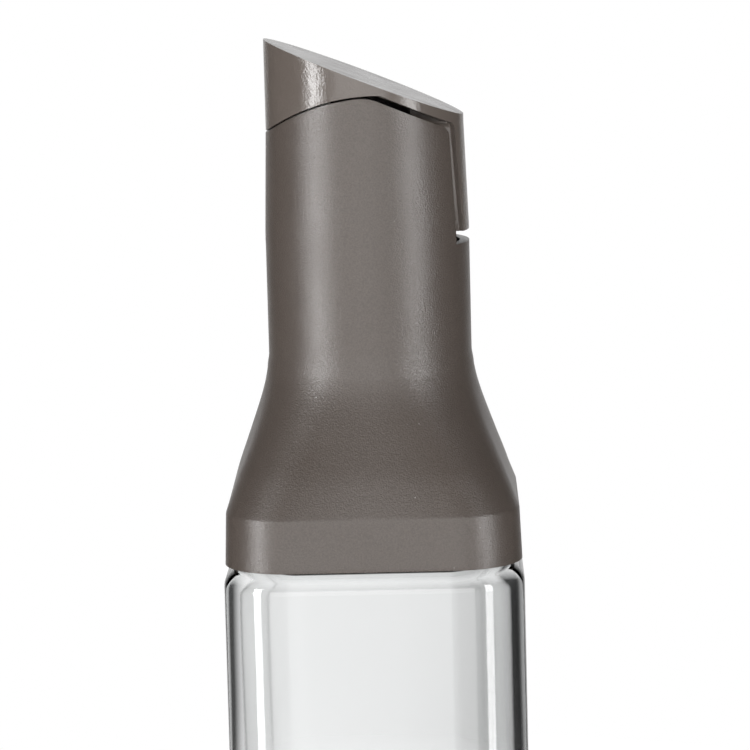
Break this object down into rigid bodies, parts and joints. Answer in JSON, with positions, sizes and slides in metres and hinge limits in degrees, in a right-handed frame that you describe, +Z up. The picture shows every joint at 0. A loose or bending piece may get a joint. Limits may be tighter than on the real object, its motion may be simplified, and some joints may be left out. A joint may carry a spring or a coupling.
{
  "type": "vinegar cruet",
  "caption": "Square glass vinegar cruet with a flared plastic pourer hood and a counterweighted lid that opens by itself when it is tipped.",
  "frame": {"origin": "centre of the bottle's footprint, on the plane of the flat ring that it stands on", "axes": "+Z up along the bottle's axis; -X is the side that pours, under the lid's beak; +X is the side of the lid's skirt; the hinge runs along Y"},
  "size_m": [0.0624, 0.0624, 0.196],
  "materials": {
    "clear_glass": "clear pressed glass, polished",
    "hood_plastic": "taupe, satin with a fine grain",
    "lid_plastic": "taupe, smoother and glossier than the hood",
    "inner_plastic": "natural milky polypropylene",
    "silicone": "milky translucent silicone",
    "steel": "stainless steel"
  },
  "bodies": {
    "bottle": {"glass_bottle": "clear_glass"},
    "cap": {"hood": "hood_plastic", "inner_collar": "inner_plastic", "neck_gasket": "silicone", "plug_seal": "silicone", "pour_spout": "inner_plastic", "air_tube": "steel", "hinge_pin": "steel"},
    "flap": {"lid": "lid_plastic", "lid_seal": "silicone", "counterweight": "steel", "weight_cover": "lid_plastic"}
  },
  "joints": [
    {"name": "cap_lift", "type": "slide", "parent": "bottle", "child": "cap", "axis": [0, 0, 1], "range_m": [0, 0.035]},
    {"name": "lid_hinge", "type": "hinge", "parent": "cap", "child": "flap", "pos_m": [0.0125, 0, 0.1745], "axis": [0, 1, 0], "range_deg": [0, 25]}
  ]
}
